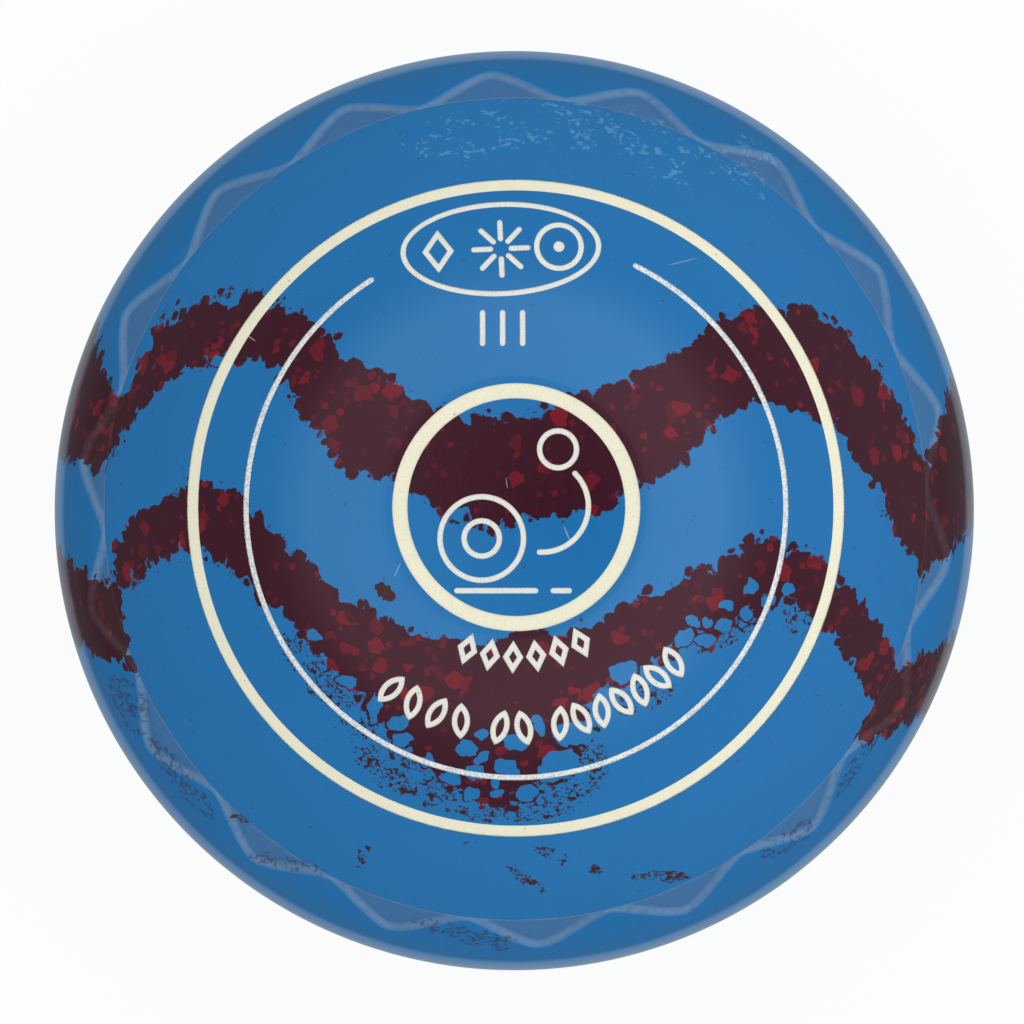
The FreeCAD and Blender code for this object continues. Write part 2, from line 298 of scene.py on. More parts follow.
def ring_faces(rows):
    """Quads between the rows of points, and fans to the two middle points, which are the mesh's first."""
    column = np.arange(COLUMNS)
    following = np.roll(column, -1)
    faces = []
    for row in range(rows - 1):
        here = 2 + row * COLUMNS
        below = here + COLUMNS
        quads = [here + column, below + column, below + following, here + following]
        faces += np.stack(quads, 1).tolist()
    last = 2 + (rows - 1) * COLUMNS
    pairs = list(zip(column.tolist(), following.tolist()))
    faces += [(0, 2 + c, 2 + n) for c, n in pairs]
    faces += [(1, last + n, last + c) for c, n in pairs]
    return faces


def shell_mesh(name, side, up):
    """Closed shell of one side: outside with its grips, the flat joint face and the hollow for the core."""
    profile = Profile(side)
    turn = np.arange(COLUMNS) * 2 * math.pi / COLUMNS
    outside, depth, painted_highlight = outside_rings(profile, side, turn)
    rings = outside + hollow_rings(side)
    points = [np.array([[0, 0, side[0]], [0, 0, side[0] - SHELL_THICKNESS]])]
    for r, z in rings:
        points.append(np.stack([r * np.cos(turn), r * np.sin(turn), z], 1))
    points = np.concatenate(points)
    points[:, 2] = EQUATOR_Z + up * points[:, 2]
    faces = ring_faces(len(rings))
    if up < 0:
        faces = [face[::-1] for face in faces]
    mesh = bpy.data.meshes.new(name)
    mesh.from_pydata((points * MM).tolist(), [], faces)
    # The grips' depth, and the painted highlight along their walls, step and lip
    for label, amount in (("grip", depth / GRIP_DEPTH), ("painted_highlight", painted_highlight)):
        values = np.zeros(len(points), np.float32)
        values[2:2 + amount.size] = amount.ravel()
        mesh.attributes.new(label, "FLOAT", "POINT").data.foreach_set("value", values)
    mesh.validate()
    return mesh, profile


def groove_cutter(nodes, profile, up):
    """One mesh of the given enamel solids, each stretched out through the ball's surface."""
    cutter = bmesh.new()
    for name in nodes:
        cutter.from_mesh(NODES[name].data)
    bmesh.ops.remove_doubles(cutter, verts=cutter.verts, dist=WELD * MM)
    for v in cutter.verts:
        r = math.hypot(v.co.x, v.co.y) / MM
        surface = float(np.interp(r, profile.r, profile.z))
        height = up * (v.co.z / MM - EQUATOR_Z)
        slant = max(0.5, float(np.interp(r, profile.r, profile.nz)))
        if surface - height < ENAMEL_TOP / slant:
            v.co.z += up * GROOVE_REACH * MM
    mesh = bpy.data.meshes.new("groove_cutter")
    cutter.to_mesh(mesh)
    cutter.free()
    piece = bpy.data.objects.new("groove_cutter", mesh)
    bpy.context.scene.collection.objects.link(piece)
    return piece


def read(items, name, width=1, kind=float):
    """One property of a mesh's vertices, corners or faces as an array with a row for each."""
    values = np.empty(len(items) * width, kind)
    items.foreach_get(name, values)
    return values.reshape(-1, width) if width > 1 else values


def against_ball(profile, points, up):
    """For each point: its radius, the ball's own normal there, and how far under the ball it lies."""
    r = np.hypot(points[:, 0], points[:, 1])
    safe_r = np.maximum(r, 1e-9)
    nr = np.interp(r, profile.r, profile.nr)
    nz = np.interp(r, profile.r, profile.nz)
    normals = np.stack([nr * points[:, 0] / safe_r, nr * points[:, 1] / safe_r, up * nz], 1)
    height = up * (points[:, 2] - EQUATOR_Z)
    under = (np.interp(r, profile.r, profile.z) - height) * np.maximum(nz, 0.02)
    return r, normals, under


def smooth_shading(mesh, profile, up):
    """Smooth shading that follows the true ball, with the groove walls and the joint left crisp."""
    grips_from, grips_to = GRIP_SHADING
    points = read(mesh.vertices, "co", 3) / MM
    r, ball_normals, under = against_ball(profile, points, up)
    on_ball = (np.abs(under) < 0.04) & ((r < grips_from) | (r > grips_to))
    face_normals = read(mesh.polygons, "normal", 3)
    face_r, want, face_under = against_ball(profile, read(mesh.polygons, "center", 3) / MM, up)
    in_groove = (np.abs(face_under) > 0.05) & (face_r < grips_from)
    faces_out = (face_normals * want).sum(1) > 0.45
    outside = faces_out & (np.abs(face_under) < 1.2) & ~in_groove
    corner_vert = read(mesh.loops, "vertex_index", kind=np.int64)
    corner_face = np.repeat(np.arange(len(mesh.polygons)), read(mesh.polygons, "loop_total", kind=np.int64))
    # Outside corners in the grips take the average of the outside faces round them
    used = outside[corner_face]
    used_vert = corner_vert[used]
    used_face = corner_face[used]
    summed = np.zeros_like(points)
    area = read(mesh.polygons, "area")
    np.add.at(summed, used_vert, face_normals[used_face] * area[used_face, None])
    averaged = summed / np.maximum(np.linalg.norm(summed, axis=1), 1e-20)[:, None]
    corners = face_normals[corner_face].copy()
    corners[used] = np.where(on_ball[used_vert, None], ball_normals[used_vert], averaged[used_vert])
    mesh.polygons.foreach_set("use_smooth", np.ones(len(mesh.polygons), bool))
    mesh.normals_split_custom_set(corners.tolist())


def make_shell(name, node, side, up, grooves):
    """The skin that stands for a shell's node, with the grooves of its enamel cut into it."""
    mesh, profile = shell_mesh(name, side, up)
    piece = bpy.data.objects.new(name, mesh)
    bpy.context.scene.collection.objects.link(piece)
    cutter = groove_cutter(grooves, profile, up)
    cut = piece.modifiers.new("grooves", "BOOLEAN")
    cut.operation = "DIFFERENCE"
    cut.solver = "MANIFOLD"
    cut.object = cutter
    graph = bpy.context.evaluated_depsgraph_get()
    result = bpy.data.meshes.new_from_object(piece.evaluated_get(graph))
    piece.modifiers.clear()
    piece.data = result
    bpy.data.objects.remove(cutter)
    smooth_shading(result, profile, up)
    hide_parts(node)
    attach(piece, "root")
    return piece


ENAMELS = [name for name in NODES if name.endswith("_enamel")]
BIAS_GROOVES = [name for name in ENAMELS if not name.startswith("plain_")]
PLAIN_GROOVES = [name for name in ENAMELS if name.startswith("plain_")]
shells = [
    make_shell("bias_side_skin", "bias_side_shell", BIAS_SIDE, 1, BIAS_GROOVES),
    make_shell("plain_side_skin", "plain_side_shell", PLAIN_SIDE, -1, PLAIN_GROOVES),
]


# Materials

class Graph:
    """A material's node tree, with short names for the nodes that the patterns are made of."""

    def __init__(self, tree):
        self.tree = tree

    def node(self, kind, **settings):
        made = self.tree.nodes.new(kind)
        for key, value in settings.items():
            setattr(made, key, value)
        return made

    def feed(self, socket, value):
        if isinstance(value, bpy.types.NodeSocket):
            self.tree.links.new(value, socket)
        else:
            socket.default_value = value

    def math(self, operation, *values, clamp=False):
        made = self.node("ShaderNodeMath", operation=operation, use_clamp=clamp)
        for socket, value in zip(made.inputs, values):
            self.feed(socket, value)
        return made.outputs[0]

    def smallest(self, values):
        result = values[0]
        for value in values[1:]:
            result = self.math("MINIMUM", result, value)
        return result

    def largest(self, values):
        result = values[0]
        for value in values[1:]:
            result = self.math("MAXIMUM", result, value)
        return result

    def vector(self, operation, *values):
        made = self.node("ShaderNodeVectorMath", operation=operation)
        for socket, value in zip(made.inputs, values):
            self.feed(socket, value)
        return made.outputs[0]

    def scaled(self, vector, factor):
        made = self.node("ShaderNodeVectorMath", operation="SCALE")
        self.feed(made.inputs[0], vector)
        self.feed(made.inputs["Scale"], factor)
        return made.outputs[0]

    def split(self, vector):
        made = self.node("ShaderNodeSeparateXYZ")
        self.feed(made.inputs[0], vector)
        return made.outputs[0], made.outputs[1], made.outputs[2]

    def ramp(self, value, low, high, to_low=0.0, to_high=1.0):
        """Smooth step of value from low to high."""
        made = self.node("ShaderNodeMapRange", interpolation_type="SMOOTHSTEP")
        self.feed(made.inputs[0], value)
        self.feed(made.inputs[1], low)
        self.feed(made.inputs[2], high)
        self.feed(made.inputs[3], to_low)
        self.feed(made.inputs[4], to_high)
        return made.outputs[0]

    def noise(self, vector, size, detail=2.0, colour=False):
        """Noise whose blobs are about size across."""
        made = self.node("ShaderNodeTexNoise")
        self.feed(made.inputs["Vector"], vector)
        made.inputs["Scale"].default_value = 1 / size
        made.inputs["Detail"].default_value = detail
        return made.outputs["Color" if colour else "Fac"]

    def cells(self, vector, size, feature="F1"):
        made = self.node("ShaderNodeTexVoronoi", feature=feature)
        self.feed(made.inputs["Vector"], vector)
        made.inputs["Scale"].default_value = 1 / size
        return made

    def warped(self, vector, size, amount, detail=2.0):
        """The vector moved about by noise."""
        push = self.vector("SUBTRACT", self.noise(vector, size, detail, colour=True), (0.5, 0.5, 0.5))
        return self.vector("ADD", vector, self.scaled(push, amount * 2))

    def outline(self, x, points):
        """Smooth curve y(x) through the points, for x and y from -60 to 60."""
        made = self.node("ShaderNodeFloatCurve")
        curve = made.mapping.curves[0]
        spots = [((px + 60) / 120, (py + 60) / 120) for px, py in points]
        curve.points[0].location = spots[0]
        curve.points[1].location = spots[-1]
        for spot in spots[1:-1]:
            curve.points.new(*spot)
        made.mapping.use_clip = False
        made.mapping.update()
        self.feed(made.inputs["Value"], self.math("MULTIPLY_ADD", x, 1 / 120, 0.5))
        return self.math("MULTIPLY_ADD", made.outputs[0], 120.0, -60.0)

    def mix(self, factor, first, second):
        made = self.node("ShaderNodeMix", data_type="RGBA")
        self.feed(made.inputs["Factor"], factor)
        for socket, value in ((made.inputs[6], first), (made.inputs[7], second)):
            self.feed(socket, value if isinstance(value, bpy.types.NodeSocket) else (*value, 1.0))
        return made.outputs[2]

    def bump(self, height, strength, distance):
        made = self.node("ShaderNodeBump")
        made.inputs["Strength"].default_value = strength
        made.inputs["Distance"].default_value = distance * MM
        self.feed(made.inputs["Height"], height)
        return made.outputs[0]


def new_material(name):
    """A material with a principled shader, its graph, and the object's own coordinates in millimetres."""
    material = bpy.data.materials.new(name)
    material.use_nodes = True
    graph = Graph(material.node_tree)
    shader = material.node_tree.nodes["Principled BSDF"]
    place = graph.scaled(graph.node("ShaderNodeTexCoord").outputs["Object"], 1 / MM)
    return material, graph, shader, place


def band_distance_group():
    """Node group: signed distance to the edge of the maroon bands, negative inside."""
    tree = bpy.data.node_groups.new("band_distance", "ShaderNodeTree")
    tree.interface.new_socket("Place", in_out="INPUT", socket_type="NodeSocketVector")
    tree.interface.new_socket("Distance", in_out="OUTPUT", socket_type="NodeSocketFloat")
    graph = Graph(tree)
    x, y = graph.split(graph.node("NodeGroupInput").outputs[0])[:2]
    upper = graph.math("MAXIMUM", graph.math("SUBTRACT", y, graph.outline(x, UPPER_TOP)),
                       graph.math("SUBTRACT", graph.outline(x, UPPER_BOTTOM), y))
    lower = graph.math("MAXIMUM", graph.math("SUBTRACT", y, graph.outline(x, LOWER_TOP)),
                       graph.math("SUBTRACT", graph.outline(x, LOWER_BOTTOM), y))
    flat = graph.math("MULTIPLY", graph.math("MINIMUM", upper, lower), BAND_SLOPE)
    r = graph.math("SQRT", graph.math("ADD", graph.math("MULTIPLY", x, x), graph.math("MULTIPLY", y, y)))
    direction = graph.math("ARCTAN2", x, y)
    inwards = graph.math("DIVIDE", graph.math("SUBTRACT", BALL_R, r), STRIPE_INWARDS, clamp=True)
    stripes = []
    for middle, half, middle_change, half_change in STRIPES:
        centre = graph.math("MULTIPLY_ADD", inwards, math.radians(middle_change), math.radians(middle))
        apart = graph.math("WRAP", graph.math("SUBTRACT", direction, centre), math.pi, -math.pi)
        width = graph.math("MULTIPLY_ADD", inwards, math.radians(half_change), math.radians(half))
        stripes.append(graph.math("SUBTRACT", graph.math("ABSOLUTE", apart), width))
    side = graph.math("MULTIPLY", graph.smallest(stripes), r)
    turn = graph.ramp(r, STRIPE_FROM_R - STRIPE_BLEND, STRIPE_FROM_R + STRIPE_BLEND)
    blend = graph.node("ShaderNodeMix", data_type="FLOAT")
    graph.feed(blend.inputs[0], turn)
    graph.feed(blend.inputs[2], flat)
    graph.feed(blend.inputs[3], side)
    out = graph.node("NodeGroupOutput")
    graph.feed(out.inputs[0], blend.outputs[0])
    return tree


def patches(graph, x, y, ellipses):
    """1 at the middle of each (x, y, half-length, half-width, tilt in degrees) ellipse, 0 at its outline."""
    masks = []
    for cx, cy, half_length, half_width, tilt in ellipses:
        c, s = math.cos(math.radians(tilt)), math.sin(math.radians(tilt))
        along = graph.math("MULTIPLY_ADD", x, c / half_length, -(cx * c + cy * s) / half_length)
        along = graph.math("MULTIPLY_ADD", y, s / half_length, along)
        across = graph.math("MULTIPLY_ADD", x, -s / half_width, (cx * s - cy * c) / half_width)
        across = graph.math("MULTIPLY_ADD", y, c / half_width, across)
        away = graph.math("MULTIPLY_ADD", across, across, graph.math("MULTIPLY", along, along))
        masks.append(graph.math("SUBTRACT", 1.0, away, clamp=True))
    return graph.largest(masks)


# Patches as (x, y, half-length, half-width, tilt in degrees)
TRAILS = [(-19.4, -44, 2.6, 1.1, 69), (-7.2, -42.5, 1.6, 0.7, 20), (1.2, -47, 3.6, 1.0, -37),
          (6.5, -44.6, 6.8, 1.0, -19), (18, -46.9, 5.8, 0.9, -3), (-35.4, -39.6, 1.8, 0.8, -20)]
FAINT_TRAILS = [(-49.8, -25.0, 5.6, 2.8, -62), (-43.2, -34.5, 9.0, 1.8, -52), (-29, -45.6, 6.8, 1.1, -12),
                (-6, -54.8, 9.6, 1.6, -14), (35, -42.6, 5.5, 1.8, 35), (44, -33, 6.0, 1.2, 55)]
SPECKLED_BLUE = [(-14, -33, 9, 4, -28), (0, -37, 11, 3.2, 3), (-20, -26, 4, 3, -50), (9, -33, 3, 5, -20),
                 (27, -15.5, 6, 2, 25), (36, -13, 3, 4, -20), (16, -24, 5, 2, 20),
                 (-25.5, -20.5, 7.5, 2.6, -52)]
BLUE_LUMPS = [(0, -29.4, 2.1, 1.4, 0), (7.2, -28.4, 3.6, 1.9, 5), (5.2, -32.4, 3.6, 2.3, 28),
              (-6.1, -30.2, 1.7, 1.2, 0), (-4.3, -31.4, 1.4, 0.8, 30), (-1.3, -32.6, 2.0, 1.3, -25),
              (-14.7, -26.9, 1.8, 1.1, 5), (-14.3, -29.2, 1.5, 1.2, 0), (2.9, -27.4, 0.9, 1.7, 20),
              (-4.5, -28.3, 0.9, 0.8, 0), (-5.2, -33.2, 1.5, 1.1, 10), (1.4, -35.9, 1.6, 1.4, 0),
              (-17.8, -25.2, 2.4, 0.9, 82), (-11.2, -31.8, 1.3, 1.0, 40), (-8.3, -34.0, 1.6, 1.2, -10),
              (-5.5, -35.9, 1.5, 1.0, 30), (-2.4, -36.0, 1.0, 0.8, 0), (-2.6, -34.6, 0.9, 0.7, 60),
              (29.4, -9.9, 1.1, 1.1, 0), (26.3, -12.3, 1.1, 0.9, 0), (28.9, -13.2, 1.3, 0.9, 80),
              (22.1, -14.2, 1.0, 1.1, 0), (21.0, -16.3, 1.7, 1.3, 30), (23.9, -14.4, 1.0, 0.8, 0),
              (26.0, -14.8, 1.3, 1.3, 0), (23.7, -16.6, 1.6, 1.0, 10), (13.4, -20.6, 2.3, 1.8, 0),
              (31.7, -11.8, 1.2, 1.0, 40), (-37.5, 18.6, 1.2, 1.1, 0), (34.2, -10.2, 1.1, 1.0, 0),
              (-25.4, -16.1, 1.4, 0.8, -10), (-21.3, -21.8, 1.5, 0.9, -20)]
FLECKS = [(5, 49, 10, 4.5, -8), (17, 46.5, 9, 5, -35), (-6, 47.5, 10, 4, 6), (28, 43.5, 7, 3, -38),
          (31, 46.5, 4, 2, -45)]
ISLANDS = [(-16.3, -10.6, 1.6, 0.9, -45)]
SCRATCHES = [(-14.8, -7.8, 1.1, 0.07, 66), (6.3, -3.3, 1.2, 0.08, -68), (-1.2, 3.0, 0.8, 0.05, -82),
             (-33.5, 21.5, 1.0, 0.08, -35), (21, 31, 2.2, 0.05, 15)]


def parts_of(g, colour):
    made = g.node("ShaderNodeSeparateColor")
    g.feed(made.inputs[0], colour)
    return made.outputs


def blended(g, factor, first, second):
    made = g.node("ShaderNodeMix", data_type="FLOAT")
    g.feed(made.inputs[0], factor)
    g.feed(made.inputs[2], first)
    g.feed(made.inputs[3], second)
    return made.outputs[0]


def swirl(g, place):
    """The place, turned and pushed about more and more on the way down to the plain side."""
    lower_half = g.ramp(g.split(place)[2], 50.0, 0.0)
    turned = g.node("ShaderNodeVectorRotate", rotation_type="Z_AXIS")
    g.feed(turned.inputs["Vector"], place)
    g.feed(turned.inputs["Angle"], g.math("MULTIPLY", lower_half, math.radians(SWIRL_TURN_DEG)))
    wander = g.vector("SUBTRACT", g.noise(place, SWIRL, 1.0, colour=True), (0.5, 0.5, 0.5))
    return g.vector("ADD", turned.outputs[0], g.scaled(wander, g.math("MULTIPLY", lower_half, SWIRL_PUSH)))


def band_edge(g, place, swirled):
    """Signed distance to the bands' torn edge: round knobs along a ragged line."""
    band = band_distance_group()

    def distance(vector):
        made = g.node("ShaderNodeGroup")
        made.node_tree = band
        g.feed(made.inputs[0], vector)
        return made.outputs[0]

    rough_place = g.warped(swirled, 0.7, 0.28)
    knobs = g.cells(rough_place, KNOB)
    knob = g.math("MULTIPLY_ADD", knobs.outputs["Distance"], 1.5, -1.4)
    knob = g.math("ADD", knob, parts_of(g, knobs.outputs["Color"])[0])
    ragged = g.math("MULTIPLY_ADD", g.noise(place, 4.5, 3.0), 3.6, -1.8)
    even = blended(g, 0.5, distance(knobs.outputs["Position"]), distance(rough_place))
    return g.math("ADD", even, g.math("ADD", knob, ragged))


def band_body(g, place, swirled, edge, upper_face):
    """The bands with the blue lumps in their torn side, and a mask that is 0 inside the lumps."""
    lump_x, lump_y = g.split(g.warped(swirled, 1.7, 0.85, 2.0))[:2]
    lump = g.math("MULTIPLY", patches(g, lump_x, lump_y, BLUE_LUMPS), upper_face)
    broken = g.math("MULTIPLY_ADD", edge, -0.05, g.noise(place, 1.3, 3.0))
    veins = g.math("MULTIPLY", g.ramp(lump, 0.0, 0.06), g.ramp(broken, 0.32, 0.36))
    clear = g.ramp(lump, 0.40, 0.32)
    whole = g.math("MAXIMUM", g.ramp(edge, 0.10, -0.10), veins)
    return g.math("MULTIPLY", whole, clear), clear


def fragments(g, place, swirled, flat_x, flat_y, edge, clear, patchy):
    """Maroon dust beside the bands, crazed patches, stray trails, faint threads and the islands."""
    craze = g.cells(g.warped(swirled, 0.9, 0.5), 1.3, "DISTANCE_TO_EDGE")
    craze = g.ramp(craze.outputs["Distance"], 0.18, 0.02, 0.55, 1.0)
    crazed = g.math("MULTIPLY", g.ramp(patches(g, flat_x, flat_y, SPECKLED_BLUE), 0.0, 0.5), craze)
    crazed = g.math("MULTIPLY", crazed, g.ramp(patchy, 0.30, 0.52))
    trail = g.ramp(patches(g, flat_x, flat_y, TRAILS), 0.0, 0.6)
    trail = g.math("MULTIPLY", trail, g.ramp(patchy, 0.36, 0.54))
    dusty = g.math("MULTIPLY", g.ramp(edge, 1.3, 0.0, 0.0, 0.8), g.ramp(g.noise(place, 5.0, 2.0), 0.46, 0.64))
    density = g.math("MULTIPLY", g.largest([crazed, trail, dusty]), clear)
    specks = g.math("MULTIPLY_ADD", density, 0.28, g.noise(place, SPECK, 2.0))
    crumbs = g.math("MULTIPLY_ADD", density, 0.24, g.noise(place, CRUMB, 3.0))
    faint = g.ramp(patches(g, flat_x, flat_y, FAINT_TRAILS), 0.0, 0.6)
    faint = g.math("MULTIPLY", faint, g.ramp(patchy, 0.34, 0.50))
    threads = g.math("MULTIPLY_ADD", faint, 0.21, g.noise(g.warped(swirled, 0.9, 0.6), THREAD, 3.0))
    island_x, island_y = g.split(g.warped(swirled, 0.7, 0.6, 3.0))[:2]
    return [
        g.ramp(specks, 0.74, 0.80, 0.0, 0.85),
        g.ramp(crumbs, 0.76, 0.78),
        g.ramp(threads, 0.68, 0.76, 0.0, 0.60),
        g.ramp(patches(g, island_x, island_y, ISLANDS), 0.0, 0.15),
    ]


def flakes(g, place, size, cluster, picked, outline, strength):
    """Flakes of one size, picked from cells by (low, high) and each of its own strength."""
    cell = g.cells(place, size)
    random = parts_of(g, cell.outputs["Color"])
    flake = g.ramp(g.math("MULTIPLY_ADD", cluster, 0.50, random[0]), *picked)
    flake = g.math("MULTIPLY", flake, g.ramp(cell.outputs["Distance"], *outline))
    return g.math("MULTIPLY", flake, g.math("MULTIPLY_ADD", random[1], *strength))


def red_flakes(g, place, swirled):
    cluster = g.noise(place, 8.0, 1.0)
    flake_place = g.warped(swirled, 1.3, 0.45)
    shifted = g.vector("ADD", flake_place, (7.0, 3.0, 5.0))
    big = flakes(g, flake_place, BIG_FLAKE, cluster, (1.14, 1.15), (0.76, 0.68), (0.65, 0.25))
    small = flakes(g, shifted, SMALL_FLAKE, cluster, (1.13, 1.15), (0.60, 0.40), (0.7, 0.1))
    return g.math("MAXIMUM", big, small)


def pale_flecks(g, place, flat_x, flat_y, upper_face):
    """Pale flecks, like torn strands, on the cartouche's side."""
    zone = g.ramp(patches(g, flat_x, flat_y, FLECKS), 0.0, 0.6)
    zone = g.math("MULTIPLY", zone, g.ramp(g.noise(place, 3.5, 2.0), 0.36, 0.58))
    strand = g.noise(g.warped(place, 1.5, 0.8), STRAND, 2.0)
    fleck = g.ramp(g.math("MULTIPLY_ADD", zone, 0.15, strand), 0.66, 0.76)
    return g.math("MULTIPLY", fleck, g.math("MULTIPLY", upper_face, g.ramp(zone, 0.0, 0.5, 0.0, 0.50)))


def handled_with_painted_highlight(g, place, colour, maroon, scratch):
    """The colour with scuffed grips, a highlight painted along the grips' walls and step, and scratches, and
    how scuffed it is.
    """
    grip = g.node("ShaderNodeAttribute", attribute_name="grip").outputs["Fac"]
    scuff = g.math("MULTIPLY", grip, g.math("MULTIPLY_ADD", g.noise(place, 1.6, 4.0), 0.8, 0.6))
    painted_highlight = g.node("ShaderNodeAttribute", attribute_name="painted_highlight").outputs["Fac"]
    painted_highlight = g.math("MULTIPLY", painted_highlight, g.ramp(g.noise(place, 0.9, 4.0), 0.2, 0.6, 0.5, 1.0))
    on_blue = g.math("MULTIPLY_ADD", maroon, -0.8, 1.0)
    colour = g.mix(g.math("MULTIPLY", g.math("MULTIPLY", scuff, 0.17), on_blue), colour, SCUFFED)
    # Painted highlight along the grips' walls and step, mixed in on the blue only
    colour = g.mix(g.math("MULTIPLY", g.math("MULTIPLY", painted_highlight, 0.28), on_blue), colour, PAINTED_HIGHLIGHT)
    return g.mix(scratch, colour, SCRATCH), scuff


def marbled():
    """Polished marbled shell: blue, torn maroon bands with red flakes, crumbs beside them, pale flecks."""
    material, g, shader, place = new_material("marbled_shell")
    x, y, z = g.split(place)
    upper_face = g.ramp(z, *UPPER_FACE_Z)
    swirled = swirl(g, place)
    flat_x, flat_y = g.split(g.warped(swirled, 3.0, 0.8))[:2]
    patchy = g.noise(place, 2.2, 3.0)
    edge = band_edge(g, place, swirled)
    body, clear = band_body(g, place, swirled, edge, upper_face)
    maroon = g.largest([body, *fragments(g, place, swirled, flat_x, flat_y, edge, clear, patchy)])
    tone = g.mix(g.math("MULTIPLY", patchy, 0.4), MAROON, MAROON_LIGHT)
    flake = g.math("MULTIPLY", red_flakes(g, place, swirled), body)
    flaked = g.mix(body, DUST, g.mix(flake, tone, FLAKE_RED))
    blue = g.mix(g.noise(place, 14.0, 3.0), BLUE_DEEP, BLUE_LIGHT)
    blue = g.mix(pale_flecks(g, place, flat_x, flat_y, upper_face), blue, PALE_FLECK)
    scratch = g.math("MULTIPLY", g.ramp(patches(g, x, y, SCRATCHES), 0.0, 0.5, 0.0, 0.6), upper_face)
    colour, scuff = handled_with_painted_highlight(g, place, g.mix(maroon, blue, flaked), maroon, scratch)
    smear = g.noise(g.vector("MULTIPLY", place, (1.0, 0.35, 1.0)), 1.2, 4.0)
    polish = g.math("MULTIPLY_ADD", smear, 0.04, 0.05)
    g.feed(shader.inputs["Base Color"], colour)
    g.feed(shader.inputs["Roughness"], g.math("MULTIPLY_ADD", scuff, 0.36, polish))
    g.feed(shader.inputs["Specular Tint"], g.mix(maroon, SPECULAR_BLUE, SPECULAR_MAROON))
    shader.inputs["IOR"].default_value = 1.5
    g.feed(shader.inputs["Normal"], g.bump(g.noise(place, 0.5, 2.0), 0.02, 0.1))
    return material


def enamel(name, colour, dull, grain_size, grain, roughness):
    """Satin enamel with fine grain, a few dirt specks and slight unevenness."""
    material, g, shader, place = new_material(name)
    fine = g.noise(place, grain_size, 2.0)
    broad = g.noise(place, 2.5, 3.0)
    tone = g.mix(g.math("MULTIPLY", g.ramp(fine, 0.42, 0.7), grain), colour, dull)
    tone = g.mix(g.ramp(broad, 0.45, 0.8, 0.0, 0.25), tone, dull)
    specks = g.cells(place, 1.1)
    few = g.math("GREATER_THAN", parts_of(g, specks.outputs["Color"])[0], 0.93)
    speck = g.math("MULTIPLY", g.ramp(specks.outputs["Distance"], 0.16, 0.08), few)
    tone = g.mix(g.math("MULTIPLY", speck, 0.6), tone, DIRT)
    g.feed(shader.inputs["Base Color"], tone)
    g.feed(shader.inputs["Roughness"], g.math("MULTIPLY_ADD", fine, 0.15, roughness))
    g.feed(shader.inputs["Normal"], g.bump(fine, 0.25, 0.05))
    return material


def filled_core():
    material, g, shader, place = new_material("filled_core")
    grain = g.noise(place, 0.8, 4.0)
    g.feed(shader.inputs["Base Color"], g.mix(grain, CORE_DARK, CORE_LIGHT))
    g.feed(shader.inputs["Roughness"], g.math("MULTIPLY_ADD", grain, 0.2, 0.6))
    g.feed(shader.inputs["Normal"], g.bump(grain, 0.3, 0.1))
    return material


def dress(piece, material):
    piece.data.materials.clear()
    piece.data.materials.append(material)


marble = marbled()
cream = enamel("cream_enamel", CREAM, DULL_CREAM, 0.22, 0.5, 0.42)
white = enamel("white_enamel", WHITE, DULL_WHITE, 0.22, 0.8, 0.45)
speckled = enamel("speckled_enamel", SPECKLED, DULL_SPECKLED, 0.30, 1.7, 0.45)
core_finish = filled_core()
for shell in shells:
    dress(shell, marble)
for name, node in NODES.items():
    if name == "core":
        dress(node, core_finish)
    elif name.endswith("ring_enamel") and name != "open_ring_enamel":
        dress(node, cream)
    elif name == "open_ring_enamel":
        dress(node, speckled)
    elif name.endswith("_enamel"):
        dress(node, white)
    else:
        dress(node, marble)


# Studio

CAMERA_DISTANCE = 1000.0        # from the camera to the level of the widest circle
CAMERA_LEAN = (-4.6, -7.8)      # how far the camera stands off the bowl's axis
AIM = (-0.30, -0.18)            # point at the level of the widest circle that is in the middle of the view
LENS = 266.7
SENSOR = 36.0
VIEW_DEPTH = 20000.0
FLOOR_R = 12000.0
FLOOR_GAP = 0.1                 # keeps the floor from sharing the plain disc's plane
# The light tent, as (degrees from straight up, brightness)
TENT = [(0.0, 1.25), (26.0, 1.4), (34.0, 2.2), (50.0, 2.2), (55.0, 1.5), (60.0, 1.0), (66.0, 0.75),
        (90.0, 0.6), (105.0, 0.4), (130.0, 0.12), (152.0, 0.1), (156.0, 0.34), (180.0, 0.36)]
TENT_BOTTOM_DEG = 150           # the tent is tinted from here down
TENT_BOTTOM_TINT = (0.84, 1.0, 1.12)
OPENING = (0.0132, 0.0063)      # middle of the camera's opening, as a direction's x and y
OPENING_EDGE = (0.003, 0.024)   # its dark middle and its soft edge, in the same measure
BACKDROP = (0.985, 0.985, 0.985)


def make_camera():
    data = bpy.data.cameras.new("camera")
    data.lens = LENS
    data.sensor_width = SENSOR
    data.clip_end = VIEW_DEPTH * MM
    camera = bpy.data.objects.new("camera", data)
    bpy.context.scene.collection.objects.link(camera)
    stand = Vector((CAMERA_LEAN[0] * MM, CAMERA_LEAN[1] * MM, (EQUATOR_Z + CAMERA_DISTANCE) * MM))
    aim = Vector((AIM[0] * MM, AIM[1] * MM, EQUATOR_Z * MM))
    back = (stand - aim).normalized()
    right = Vector((0, 1, 0)).cross(back).normalized()
    camera.matrix_world = Matrix((right, back.cross(right), back)).transposed().to_4x4()
    camera.location = stand
    bpy.context.scene.camera = camera


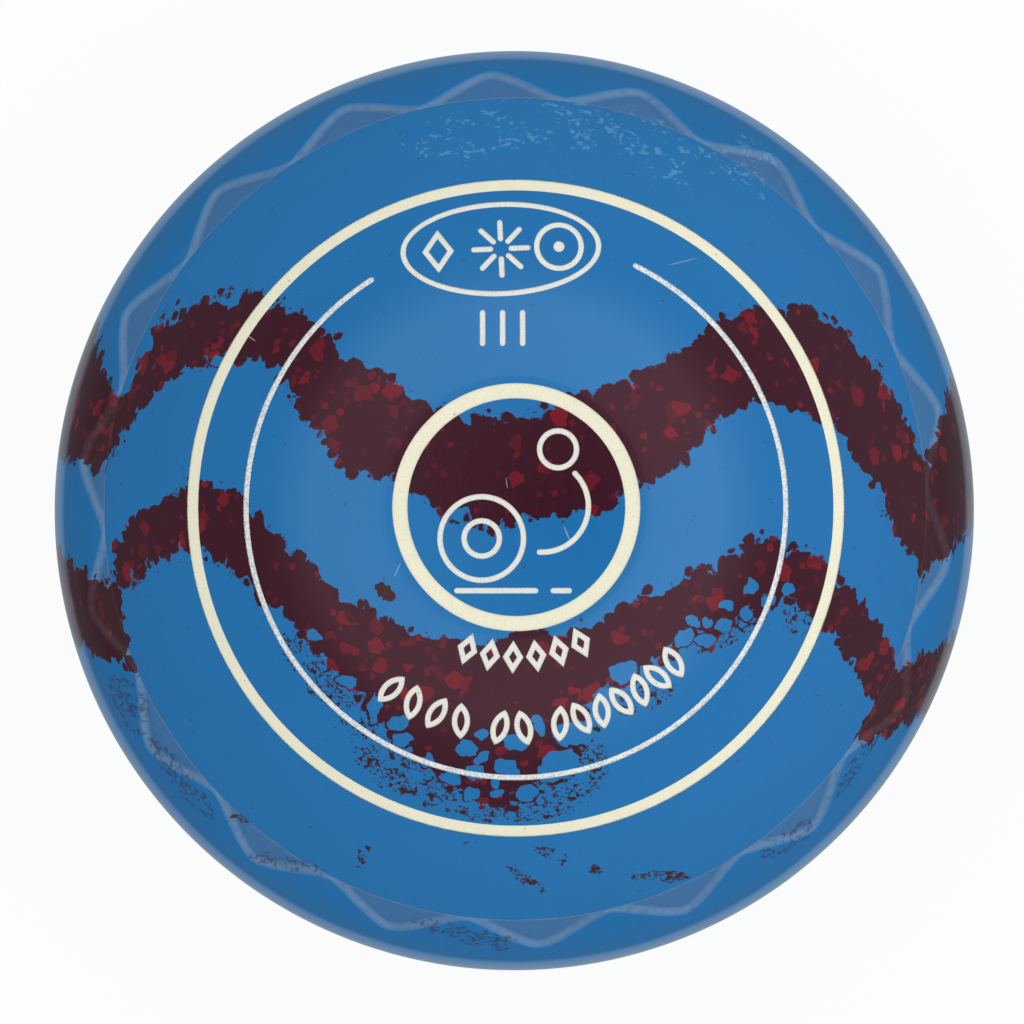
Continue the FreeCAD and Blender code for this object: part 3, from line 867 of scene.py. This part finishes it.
def make_floor():
    bm = bmesh.new()
    bmesh.ops.create_circle(bm, cap_ends=True, segments=96, radius=FLOOR_R * MM)
    mesh = bpy.data.meshes.new("floor")
    bm.to_mesh(mesh)
    bm.free()
    floor = bpy.data.objects.new("floor", mesh)
    bpy.context.scene.collection.objects.link(floor)
    material = bpy.data.materials.new("floor")
    material.use_nodes = True
    shader = material.node_tree.nodes["Principled BSDF"]
    shader.inputs["Base Color"].default_value = (0.12, 0.12, 0.12, 1)
    shader.inputs["Roughness"].default_value = 0.9
    shader.inputs["Specular IOR Level"].default_value = 0.0
    shader.inputs["Emission Color"].default_value = (1.0, 1.0, 1.0, 1)
    shader.inputs["Emission Strength"].default_value = 0.88
    mesh.materials.append(material)
    floor.visible_glossy = False
    floor.visible_diffuse = False
    floor.location.z = -FLOOR_GAP * MM


def tent_brightness(g, z):
    """Colour of the tent by the direction's height."""
    tent = g.node("ShaderNodeValToRGB")
    ramp = tent.color_ramp
    ramp.elements[0].position = TENT[0][0] / 180
    ramp.elements[1].position = 1.0
    for degrees, level in TENT[1:-1]:
        ramp.elements.new(degrees / 180)
    for element, (degrees, level) in zip(ramp.elements, TENT):
        tint = TENT_BOTTOM_TINT if degrees > TENT_BOTTOM_DEG else (1.0, 1.0, 1.0)
        element.color = (level * tint[0], level * tint[1], level * tint[2], 1)
    angle = g.math("MULTIPLY", g.math("ARCCOSINE", z), 180 / math.pi)
    g.feed(tent.inputs[0], g.math("DIVIDE", angle, 180.0))
    return tent.outputs[0]


def tent_opening(g, x, y, z):
    """0 in the camera's opening and 1 elsewhere."""
    off_x = g.math("SUBTRACT", x, OPENING[0])
    off_y = g.math("SUBTRACT", y, OPENING[1])
    squares = g.math("MULTIPLY_ADD", off_x, off_x, g.math("MULTIPLY", off_y, off_y))
    return g.math("MAXIMUM", g.ramp(g.math("SQRT", squares), *OPENING_EDGE), g.math("LESS_THAN", z, 0.0))


def make_studio_light():
    """A soft light tent: bright overhead ring round the camera's opening, dim sides, brighter from +X."""
    world = bpy.data.worlds.new("studio")
    bpy.context.scene.world = world
    world.use_nodes = True
    tree = world.node_tree
    tree.nodes.clear()
    g = Graph(tree)
    x, y, z = g.split(g.node("ShaderNodeTexCoord").outputs["Generated"])
    # What polished surfaces mirror
    side_gain = g.math("MULTIPLY_ADD", x, 0.16, 1.0)
    mirrored = g.scaled(tent_brightness(g, z), g.math("MULTIPLY", tent_opening(g, x, y, z), side_gain))
    # What lights matt surfaces
    soft = g.math("MULTIPLY_ADD", x, 0.17, g.math("MULTIPLY_ADD", z, 0.04, 0.97))
    lit = g.node("ShaderNodeCombineXYZ")
    for socket in lit.inputs:
        g.feed(socket, soft)
    path = g.node("ShaderNodeLightPath")
    shown = g.mix(path.outputs["Is Glossy Ray"], lit.outputs[0], mirrored)
    shown = g.mix(path.outputs["Is Camera Ray"], shown, BACKDROP)
    background = g.node("ShaderNodeBackground")
    g.feed(background.inputs["Color"], shown)
    g.feed(g.node("ShaderNodeOutputWorld").inputs["Surface"], background.outputs[0])
    world.cycles.sampling_method = "NONE"


make_camera()
make_floor()
make_studio_light()
bpy.context.scene.view_settings.view_transform = "Standard"
